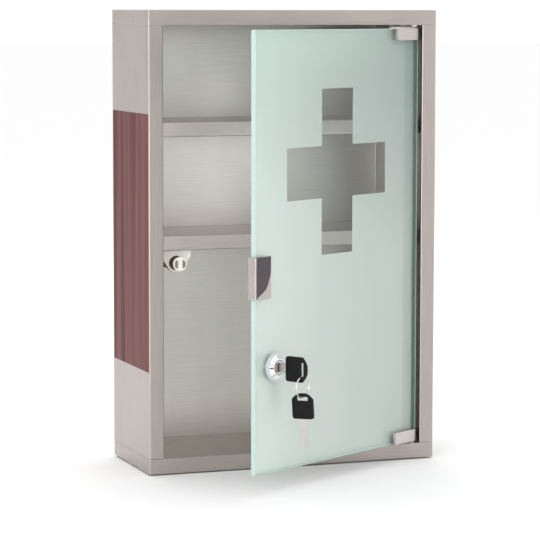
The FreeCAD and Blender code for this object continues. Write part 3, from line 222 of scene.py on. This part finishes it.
def brushed_steel(name, stretch, side_stretch=None, light=STEEL_LIGHT, dark=STEEL_DARK, returns=False):
    """Steel brushed along the axis with the long grains; faces that look along X may differ.

    The returns behind the stiles may get painted shade; the folds get a painted highlight.
    """
    shader = Shader(name)
    place = shader.place()
    grain = shader.noise(place, stretch, detail=3.0, rough=0.65)
    if side_stretch:
        normal = shader.add("NewGeometry").outputs["Normal"]
        sideways = shader.math("ABSOLUTE", shader.parts(normal)[0])
        other = shader.noise(place, side_stretch, detail=3.0, rough=0.65)
        item = shader.add("Mix", {0: shader.ramp(sideways, 0.6, 0.8)})
        shader.put(item, 2, grain)
        shader.put(item, 3, other)
        grain = item.outputs[0]
    cloud = shader.noise(place, CLOUD_GRAINS, detail=4.0)
    tone = shader.mix(shader.spread(grain), dark, light)
    stain = (*(part * STAIN_SHARE for part in dark[:3]), 1.0)
    tone = shader.mix(shader.ramp(cloud, 0.45, 0.8, 0.0, 0.3), tone, stain)
    # Painted highlight: the folds and rounds are lightened towards a paler steel
    tone = shader.mix(shader.math("MULTIPLY", shader.folds(), FOLD_HIGHLIGHT_SHARE), tone, STEEL_FOLD_HIGHLIGHT)
    if returns:
        # Painted shade: the inner faces of the returns close behind the stiles are darkened
        tone = shader.mix(inward_faces(shader, place), tone, STEEL_RETURN_SHADE)
    smear = shader.noise(place, SMEAR_GRAINS, detail=3.0)
    smears = shader.ramp(smear, 0.5, 0.8, 0.0, 0.08)
    rough = shader.math("ADD", shader.ramp(grain, 0.2, 0.8, 0.27, 0.37), smears)
    shader.set(Base_Color=tone, Metallic=1.0, Roughness=rough)
    shader.set(Normal=shader.bump(grain, BRUSH_DEPTH, 0.35))
    return shader.material


def case_materials():
    """The folded case: stiles and sides brushed upright, the rest brushed across."""
    upright = (BRUSH_FINE, BRUSH_FINE, BRUSH_LONG)
    across = (BRUSH_LONG, BRUSH_FINE, BRUSH_FINE)
    inward = (BRUSH_FINE, BRUSH_LONG, BRUSH_FINE)
    sides = brushed_steel("steel_upright", upright, returns=True)
    give(sides, "left_side_panel", "right_side_panel")
    give(brushed_steel("steel_caps", across, inward), "top_cap", "bottom_cap")
    # Painted light: the shelves and the back panel take a lighter steel than the case, to brighten the
    # inside
    shelf_light, shelf_dark = colour(212, 201, 199), colour(196, 185, 182)
    shelves = brushed_steel("steel_shelves_painted_light", across, inward, shelf_light, shelf_dark)
    give(shelves, "upper_shelf", "lower_shelf")
    back_light, back_dark = colour(234, 226, 222), colour(220, 212, 207)
    give(brushed_steel("steel_back_painted_light", across, None, back_light, back_dark), "back_panel")


# How far the brighter red strip along the band's front edge reaches, in metres
RED_EDGE_STRIP = 0.0014


def band_material():
    """The dark red film on the sides, with upright streaks and a brighter, redder strip along its front
    edge.
    """
    shader = Shader("red_film")
    place = shader.place()
    broad = shader.noise(place, (55.0, 55.0, 1.5), detail=3.0, rough=0.6)
    streak = shader.noise(place, (320.0, 320.0, 2.5), detail=4.0, rough=0.6)
    fine = shader.noise(place, (1500.0, 1500.0, 14.0), detail=2.0)
    tone = shader.mix(shader.ramp(broad, 0.4, 0.6), colour(84, 40, 42), colour(118, 74, 72))
    tone = shader.mix(shader.ramp(streak, 0.45, 0.75, 0.0, 0.5), tone, colour(134, 94, 90))
    tone = shader.mix(shader.ramp(fine, 0.4, 0.7, 0.0, 0.35), tone, colour(78, 36, 38))
    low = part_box("left_side_band")[0]
    edge = shader.ramp(shader.parts(place)[1], low.y, low.y + RED_EDGE_STRIP, 1.0, 0.0)
    tone = shader.mix(edge, tone, colour(140, 34, 42))
    rough = shader.ramp(streak, 0.3, 0.8, 0.34, 0.46)
    shader.set(Base_Color=tone, Roughness=rough, Specular_IOR_Level=0.05)
    shader.set(Normal=shader.bump(fine, 0.00001, 0.4))
    give(shader.material, "left_side_band", "right_side_band")


# The glass: where its ground edge starts and ends, its grain and depth, and its weak mirror
GROUND_START = 0.0004
GROUND_END = 0.0006
GROUND_GRAINS = (900.0, 900.0, 900.0)
GROUND_DEPTH = 0.00002
MIRROR_FACING = 0.04
MIRROR_POWER = 5.0


def glass_material():
    """Clear float glass with the faint gloss of its faces, a pale green ground edge and painted shade on
    the hinge side's edge.
    """
    shader = Shader("float_glass")
    door = shader.on_door()
    along, through, up = shader.parts(door)[:3]
    low, high = door_box("door_glass")
    sides = shader.math(
        "MINIMUM", shader.math("SUBTRACT", along, low.x), shader.math("SUBTRACT", high.x, along)
    )
    ends = shader.math("MINIMUM", shader.math("SUBTRACT", up, low.z), shader.math("SUBTRACT", high.z, up))
    ground = shader.ramp(shader.math("MINIMUM", sides, ends), GROUND_START, GROUND_END, 1.0, 0.0)
    # Painted shade: a dark green strip on the hinge side's edge, behind a thin lighter line at the front
    hinge_side = shader.ramp(along, high.x - 0.002, high.x - 0.001)
    shade = shader.math("MULTIPLY", hinge_side, shader.ramp(through, low.y + 0.0008, low.y + 0.0014))
    grit = shader.noise(door, GROUND_GRAINS, detail=3.0)
    tone = shader.mix(shader.spread(grit), colour(180, 203, 197), colour(194, 213, 208))
    tone = shader.mix(shade, tone, colour(96, 116, 108))
    shader.set(Base_Color=tone, Roughness=shader.spread(grit, 0.35, 0.5))
    shader.set(Normal=shader.bump(grit, GROUND_DEPTH, 0.5))
    wipe = shader.noise(door, (9.0, 9.0, 5.0), detail=4.0)
    tint = shader.mix(shader.ramp(wipe, 0.4, 0.8), colour(251, 254, 253), colour(249, 253, 252))
    clear = shader.add("BsdfTransparent", {"Color": tint}).outputs[0]
    gleam = {"Color": WHITE, "Roughness": shader.ramp(wipe, 0.5, 0.8, 0.01, 0.03)}
    gloss = shader.add("BsdfGlossy", gleam).outputs[0]
    facing = shader.add("LayerWeight", {"Blend": 0.5}).outputs["Facing"]
    edgeways = shader.math("POWER", facing, MIRROR_POWER)
    mirrored = shader.math("MULTIPLY", edgeways, 1.0 - MIRROR_FACING)
    pane = shader.blend(shader.math("ADD", mirrored, MIRROR_FACING), clear, gloss)
    shader.show(shader.blend(ground, pane, shader.surface.outputs[0]))
    give(shader.material, "door_glass")


# The frosted film: its grain, and the share of light that it lets through
FROST_GRAINS = (2200.0, 2200.0, 2200.0)
FROST_DEPTH = 0.000003
FROST_THROUGH = 0.66


def frost_material():
    """The frosted film: milky, letting some light through, with the faintest mottling and painted shade
    towards the hinge and the top.
    """
    shader = Shader("frosted_film")
    door = shader.on_door()
    cloud = shader.noise(door, (7.0, 7.0, 5.0), detail=3.0)
    speck = shader.noise(door, FROST_GRAINS, detail=1.0)
    tone = shader.mix(shader.spread(cloud), colour(244, 247, 244), colour(250, 251, 249))
    tone = shader.mix(shader.spread(speck, 0.0, 0.1), tone, colour(228, 235, 232))
    along, _, up = shader.parts(door)[:3]
    low, high = door_box("frosted_layer")
    # Painted shade: the film turns bluish and darker towards the hinge and the top
    inner = shader.ramp(along, low.x, high.x)
    hinge_top_shade = shader.math("MULTIPLY", inner, shader.ramp(up, -0.05, high.z, 0.05, 0.5))
    tone = shader.mix(hinge_top_shade, tone, colour(205, 209, 216))
    # Painted shade: the film darkens towards the top
    tone = shader.mix(shader.ramp(up, 0.02, high.z, 0.0, 0.75), tone, colour(222, 230, 226))
    shader.set(Base_Color=tone, Roughness=0.7, Specular_IOR_Level=0.2)
    shader.set(Normal=shader.bump(speck, FROST_DEPTH, 0.3))
    lit = shader.add("BsdfTranslucent", {"Color": tone}).outputs[0]
    shader.show(shader.blend(FROST_THROUGH, shader.surface.outputs[0], lit))
    give(shader.material, "frosted_layer")


# Small metal parts: grains per metre, and their depth in metres
METAL_FINE = (900.0, 900.0, 900.0)
METAL_CLOUD = (120.0, 120.0, 120.0)
METAL_DEPTH = 0.00001


def plain_metal(name, light, dark, rough, grain=METAL_FINE, marks_and_shade=None):
    """A small metal part: slightly uneven tone, roughness and surface; the last argument, if given, paints
    its dark marks, painted shade and painted reflections.
    """
    shader = Shader(name)
    place = shader.place()
    fine = shader.noise(place, grain, detail=3.0)
    cloud = shader.noise(place, METAL_CLOUD, detail=3.0)
    tone = shader.mix(shader.spread(fine), dark, light)
    if marks_and_shade:
        tone = marks_and_shade(shader, tone)
    fine_rough = shader.spread(fine, 0.0, rough * 0.3)
    roughness = shader.math("ADD", shader.spread(cloud, rough, rough * 1.5), fine_rough)
    shader.set(Base_Color=tone, Metallic=1.0, Roughness=roughness)
    shader.set(Normal=shader.bump(fine, METAL_DEPTH, 0.4))
    return shader.material


# The lock's marks, the painted shade at the core's rim and keyway and its painted reflected band, in
# metres; depths from the bezel's front
MARK_RADIUS = 0.0098
MARK_HALF = (0.0013, 0.0005)
MARK_DEPTH = (0.0030, 0.0034)
RIM = (0.0066, 0.0070)
REFLECTED_BAND_HALF = 0.0036
REFLECTED_BAND_SHARE = 0.85
KEYWAY_HALF = (0.0022, 0.0042)
KEYWAY_DEPTH = (0.0003, 0.0006)
SOFT_EDGE = 1.15


def from_lock_axis(shader):
    """How far a point lies from the lock's axis: along the door, through it and up."""
    low, high = door_box("lock_housing")
    middle = ((low.x + high.x) / 2, low.y, (low.z + high.z) / 2)
    moved = shader.add("VectorMath", {0: shader.on_door(), 1: middle}, operation="SUBTRACT")
    return shader.parts(moved.outputs[0])[:3]


def within(shader, value, middle, half_width):
    """1 where a value is near its middle."""
    away = shader.math("ABSOLUTE", shader.math("SUBTRACT", value, middle))
    return shader.ramp(away, half_width, half_width * SOFT_EDGE, 1.0, 0.0)


def bezel_marks(shader, tone):
    """The dark floors of the two notches in the bezel."""
    along, through, up = from_lock_axis(shader)
    half_length, half_width = MARK_HALF
    level, upright = within(shader, up, 0.0, half_width), within(shader, along, 0.0, half_width)
    side = shader.math("MULTIPLY", within(shader, along, -MARK_RADIUS, half_length), level)
    top = shader.math("MULTIPLY", within(shader, up, MARK_RADIUS, half_length), upright)
    front = shader.ramp(through, *MARK_DEPTH, 1.0, 0.0)
    mark = shader.math("MULTIPLY", shader.math("MAXIMUM", side, top), front)
    return shader.mix(mark, tone, colour(30, 28, 32))


def core_marks(shader, tone):
    """Painted shade at the core's rim, a painted reflection as a darker band across its face, and painted
    shade in the keyway.
    """
    along, through, up = from_lock_axis(shader)
    square = shader.math("ADD", shader.math("POWER", along, 2.0), shader.math("POWER", up, 2.0))
    rim = shader.ramp(square, RIM[0] ** 2, RIM[1] ** 2)
    # Painted reflection: a darker band across the core's face
    reflected_band = shader.math("MULTIPLY", within(shader, up, 0.0, REFLECTED_BAND_HALF), REFLECTED_BAND_SHARE)
    tone = shader.mix(reflected_band, tone, colour(128, 120, 116))
    # Painted shade: the gap round the core's rim
    tone = shader.mix(rim, tone, colour(74, 64, 66))
    # Painted shade: the keyway is darkened inside
    half_width, half_height = KEYWAY_HALF
    slot = shader.math(
        "MULTIPLY", within(shader, along, 0.0, half_width), within(shader, up, 0.0, half_height)
    )
    deep = shader.ramp(through, *KEYWAY_DEPTH)
    return shader.mix(shader.math("MULTIPLY", slot, deep), tone, colour(30, 26, 27))


# Chrome and satin: light tone, dark tone and roughness
CHROME = (colour(246, 246, 248), colour(238, 238, 240), 0.08)
SATIN = (colour(212, 206, 202), colour(198, 192, 188), 0.26)
UPRIGHT_GRAINS = (1500.0, 1500.0, 80.0)


def lock_materials():
    """The chrome bezel and the nickel core."""
    chrome = plain_metal("bezel_chrome", *CHROME, marks_and_shade=bezel_marks)
    give(chrome, "lock_housing")
    core = plain_metal("core_nickel", colour(214, 212, 210), colour(186, 183, 180), 0.2, marks_and_shade=core_marks)
    give(core, "lock_core")


# Moulded plastic: grains per metre, and the depth of its eroded surface in metres
MOULD_FINE = (1400.0, 1400.0, 1400.0)
MOULD_CLOUD = (90.0, 90.0, 90.0)
MOULD_DEPTH = 0.00003


def plastic(name, light, dark, rough, depth=MOULD_DEPTH, clear=0.0, **extra):
    """Moulded plastic with a fine spark-eroded grain, see-through by the clear share."""
    shader = Shader(name)
    place = shader.place()
    fine = shader.noise(place, MOULD_FINE, detail=2.0)
    cloud = shader.noise(place, MOULD_CLOUD, detail=3.0)
    tone = shader.mix(shader.spread(cloud), dark, light)
    roughness = shader.spread(cloud, rough, rough * 1.25)
    shader.set(Base_Color=tone, Roughness=roughness, Normal=shader.bump(fine, depth, 0.5), **extra)
    if clear:
        through = shader.add("BsdfTransparent", {"Color": colour(250, 253, 254)}).outputs[0]
        shader.show(shader.blend(clear, shader.surface.outputs[0], through))
    return shader.material


# Where the plunger's cap goes over into its stem, behind its face
STEM_START = 0.0026
STEM_END = 0.0034


def plunger_material():
    """White moulded cap on a stem that has gone brown with handling and grease."""
    shader = Shader("plunger_white")
    place = shader.place()
    fine = shader.noise(place, MOULD_FINE, detail=2.0)
    cloud = shader.noise(place, (160.0, 160.0, 160.0), detail=3.0)
    white = shader.mix(shader.spread(cloud), colour(228, 225, 221), colour(236, 234, 231))
    brown = shader.mix(shader.spread(cloud), colour(122, 96, 78), colour(146, 122, 102))
    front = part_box("latch_plunger")[0].y
    stem = shader.ramp(shader.parts(place)[1], front + STEM_START, front + STEM_END)
    shader.set(Base_Color=shader.mix(stem, white, brown), Roughness=shader.spread(cloud, 0.36, 0.46))
    shader.set(Normal=shader.bump(fine, MOULD_DEPTH, 0.5))
    give(shader.material, "latch_plunger")


# How far from the clamps' ends their rounds reach, in metres
ROUND_START = 0.0075
ROUND_END = 0.006


def round_end_reflection(shader, tone):
    """Painted reflection: the clamps' rounded ends about the pins take a darker, browner tone than their
    flat faces.
    """
    along = shader.parts(shader.on_door())[0]
    end = door_box("hinge_clamp_top")[1].x
    near = shader.ramp(along, end - ROUND_START, end - ROUND_END)
    return shader.mix(near, tone, colour(150, 138, 130))


def small_materials():
    """Hinges, keys, latch, washers and fasteners."""
    clamps = plain_metal("clamp_satin", *SATIN, UPRIGHT_GRAINS, marks_and_shade=round_end_reflection)
    give(clamps, "hinge_clamp_top", "hinge_clamp_bottom")
    give(plain_metal("hinge_satin", *SATIN, UPRIGHT_GRAINS), "hinge_plate_top")
    give(plain_metal("lock_chrome", *CHROME), "hinge_pin_top", "hinge_pin_bottom")
    wire = plain_metal("ring_nickel", colour(232, 226, 218), colour(214, 207, 198), 0.12)
    give(wire, "key_ring")
    blade = plain_metal("key_nickel", colour(216, 213, 211), colour(198, 195, 192), 0.22, UPRIGHT_GRAINS)
    give(blade, "key_blade", "spare_key_blade")
    zinc = plain_metal("zinc", colour(204, 204, 199), colour(184, 185, 180), 0.32)
    give(zinc, "hinge_plate_rivets", "hinge_grub_screws", "lock_nut", "lock_cam")
    give(zinc, "cam_screw", "latch_screws", "latch_spring")
    brass = plain_metal("brass", colour(214, 184, 118), colour(196, 164, 98), 0.25)
    give(brass, "lock_wafers")
    poles = plain_metal("pole_steel", colour(172, 152, 132), colour(148, 128, 110), 0.35)
    give(poles, "latch_poles")
    black = plastic("key_black", colour(10, 10, 12), colour(7, 7, 9), 0.5, Specular_IOR_Level=0.25)
    give(black, "key_head", "spare_key_head")
    white = plastic("latch_white", colour(255, 252, 244), colour(251, 247, 238), 0.38)
    give(white, "latch_bracket")
    brown = plastic("latch_brown", colour(146, 120, 100), colour(122, 96, 78), 0.4)
    give(brown, "latch_barrel")
    bush = plastic("bush_white", colour(236, 236, 234), colour(228, 228, 225), 0.35)
    give(bush, "hinge_bush_top", "hinge_bush_bottom")
    pad = plastic("pad", colour(220, 222, 218), colour(210, 212, 208), 0.5, clear=0.3)
    give(pad, "hinge_pad_top", "hinge_pad_bottom", "strike_liner", "lock_rear_washer")
    clear = plastic("clear_washer", colour(232, 240, 244), colour(224, 234, 240), 0.12, 0.00001, clear=0.4)
    give(clear, "lock_washer")


# The clip's dark field: its edge as shares across and down, its softness and its depth
FIELD_EDGE = ((0.0, 1.0), (0.25, 0.91), (0.49, 0.84), (0.72, 0.73), (0.86, 0.56), (1.0, 0.36))
FIELD_SOFT = 0.004
FIELD_DEPTH = (0.0001, 0.0002)
CLIP_GRAINS = (1600.0, 1600.0, 60.0)


def clip_material():
    """Polished steel with a dark, non-metallic field over its upper left whose lower right edge is an easy
    curve.
    """
    shader = Shader("clip_steel")
    door = shader.on_door()
    along, through, up = shader.parts(door)[:3]
    low, high = door_box("strike_clip")
    across = shader.span(along, low.x, high.x)
    down = shader.span(up, high.z, low.z)
    curve = shader.add("FloatCurve", {"Value": across})
    points = curve.mapping.curves[0].points
    points[0].location = FIELD_EDGE[0]
    points[1].location = FIELD_EDGE[-1]
    for share in FIELD_EDGE[1:-1]:
        points.new(*share)
    curve.mapping.update()
    dark_field = shader.ramp(shader.math("SUBTRACT", curve.outputs[0], down), -FIELD_SOFT, FIELD_SOFT)
    front = shader.ramp(through, low.y + FIELD_DEPTH[0], low.y + FIELD_DEPTH[1], 1.0, 0.0)
    dark_field = shader.math("MULTIPLY", dark_field, front)
    grain = shader.noise(door, CLIP_GRAINS, detail=3.0)
    steel = shader.mix(shader.spread(grain), colour(180, 171, 168), colour(196, 188, 186))
    field_tone = shader.mix(shader.spread(grain), colour(58, 49, 56), colour(63, 54, 61))
    rough = shader.spread(grain, 0.2, 0.3)
    shader.set(Base_Color=shader.mix(dark_field, steel, field_tone), Roughness=rough)
    shader.set(Metallic=shader.ramp(dark_field, 0.0, 1.0, 1.0, 0.0))
    shader.set(Normal=shader.bump(grain, METAL_DEPTH, 0.4))
    give(shader.material, "strike_clip")


# The studio: the floor, the room's brightness, and what the camera sees
FLOOR_BELOW = 0.0015
FLOOR_SIDE = 60.0
FLOOR_GRAINS = (40.0, 40.0, 40.0)
ROOM_LOW = 0.92
ROOM_HIGH = 1.15
ROOM_SEEN = 1.05
CLIP_NEAR = 0.05
CLIP_FAR = 200.0

# Each light's name, place, target, width, height and power
LIGHTS = (
    ("back_light", (0.3, 1.6, 1.5), (0.0, 0.0, -0.2), 1.6, 1.0, 12.0),
    ("key_light", (-1.8, -2.2, 1.9), (0.0, 0.0, 0.0), 1.8, 1.8, 9.0),
    ("side_light", (1.25, -1.5, 0.45), (0.1, -0.09, 0.15), 0.8, 0.7, 1.3),
    ("front_light", (-1.0, -2.2, 0.1), (0.0, 0.0, -0.05), 1.2, 1.2, 16.0),
)


def floor():
    """A plain pale floor close under the cabinet."""
    mesh = bpy.data.meshes.new("studio_floor")
    half = FLOOR_SIDE / 2
    z = cad_low.z - FLOOR_BELOW
    corners = [(-half, -half, z), (half, -half, z), (half, half, z), (-half, half, z)]
    mesh.from_pydata(corners, [], [(0, 1, 2, 3)])
    plane = bpy.data.objects.new("studio_floor", mesh)
    bpy.context.scene.collection.objects.link(plane)
    shader = Shader("studio_white")
    speck = shader.noise(shader.place(), FLOOR_GRAINS, detail=2.0)
    tone = shader.mix(speck, colour(244, 244, 244), colour(247, 247, 247))
    shader.set(Base_Color=tone, Roughness=0.9, Specular_IOR_Level=0.0)
    mesh.materials.append(shader.material)


def sky():
    """An even room, brighter overhead, and white where the camera looks past the floor."""
    world = bpy.data.worlds.new("studio_room")
    world.use_nodes = True
    bpy.context.scene.world = world
    tree = world.node_tree
    background = tree.nodes["Background"]
    background.inputs["Color"].default_value = WHITE
    direction = tree.nodes.new("ShaderNodeTexCoord")
    parts = tree.nodes.new("ShaderNodeSeparateXYZ")
    height = tree.nodes.new("ShaderNodeMapRange")
    height.inputs[3].default_value = ROOM_LOW
    height.inputs[4].default_value = ROOM_HIGH
    tree.links.new(direction.outputs["Generated"], parts.inputs[0])
    tree.links.new(parts.outputs[2], height.inputs[0])
    tree.links.new(height.outputs[0], background.inputs["Strength"])
    white = tree.nodes.new("ShaderNodeBackground")
    white.inputs["Color"].default_value = WHITE
    white.inputs["Strength"].default_value = ROOM_SEEN
    path = tree.nodes.new("ShaderNodeLightPath")
    choice = tree.nodes.new("ShaderNodeMixShader")
    tree.links.new(path.outputs["Is Camera Ray"], choice.inputs[0])
    tree.links.new(background.outputs[0], choice.inputs[1])
    tree.links.new(white.outputs[0], choice.inputs[2])
    tree.links.new(choice.outputs[0], tree.nodes["World Output"].inputs["Surface"])


def soft_light(name, place, target, width, height, power):
    """A large soft box that points at the target."""
    light = bpy.data.lights.new(name, "AREA")
    light.shape = "RECTANGLE"
    light.size, light.size_y = width, height
    light.energy = power
    item = bpy.data.objects.new(name, light)
    bpy.context.scene.collection.objects.link(item)
    item.location = place
    item.rotation_mode = "QUATERNION"
    item.rotation_quaternion = (Vector(target) - Vector(place)).to_track_quat("-Z", "Y")


def camera():
    """The photograph's camera."""
    data = bpy.data.cameras.new("photo_camera")
    data.sensor_width = SENSOR
    data.lens = FOCAL_PIXELS / PHOTO_SIDE * SENSOR
    data.clip_start, data.clip_end = CLIP_NEAR, CLIP_FAR
    item = bpy.data.objects.new("photo_camera", data)
    bpy.context.scene.collection.objects.link(item)
    turn = Matrix.Rotation(-math.radians(CAMERA_YAW), 4, "Z")
    tilt = Matrix.Rotation(math.radians(90.0 - CAMERA_PITCH), 4, "X")
    roll = Matrix.Rotation(math.radians(CAMERA_ROLL), 4, "Z")
    item.matrix_world = Matrix.Translation(CAMERA_PLACE) @ turn @ tilt @ roll
    bpy.context.scene.camera = item


case_materials()
band_material()
glass_material()
frost_material()
small_materials()
plunger_material()
lock_materials()
clip_material()
floor()
sky()
for light in LIGHTS:
    soft_light(*light)
camera()
bpy.context.scene.view_settings.view_transform = "Standard"
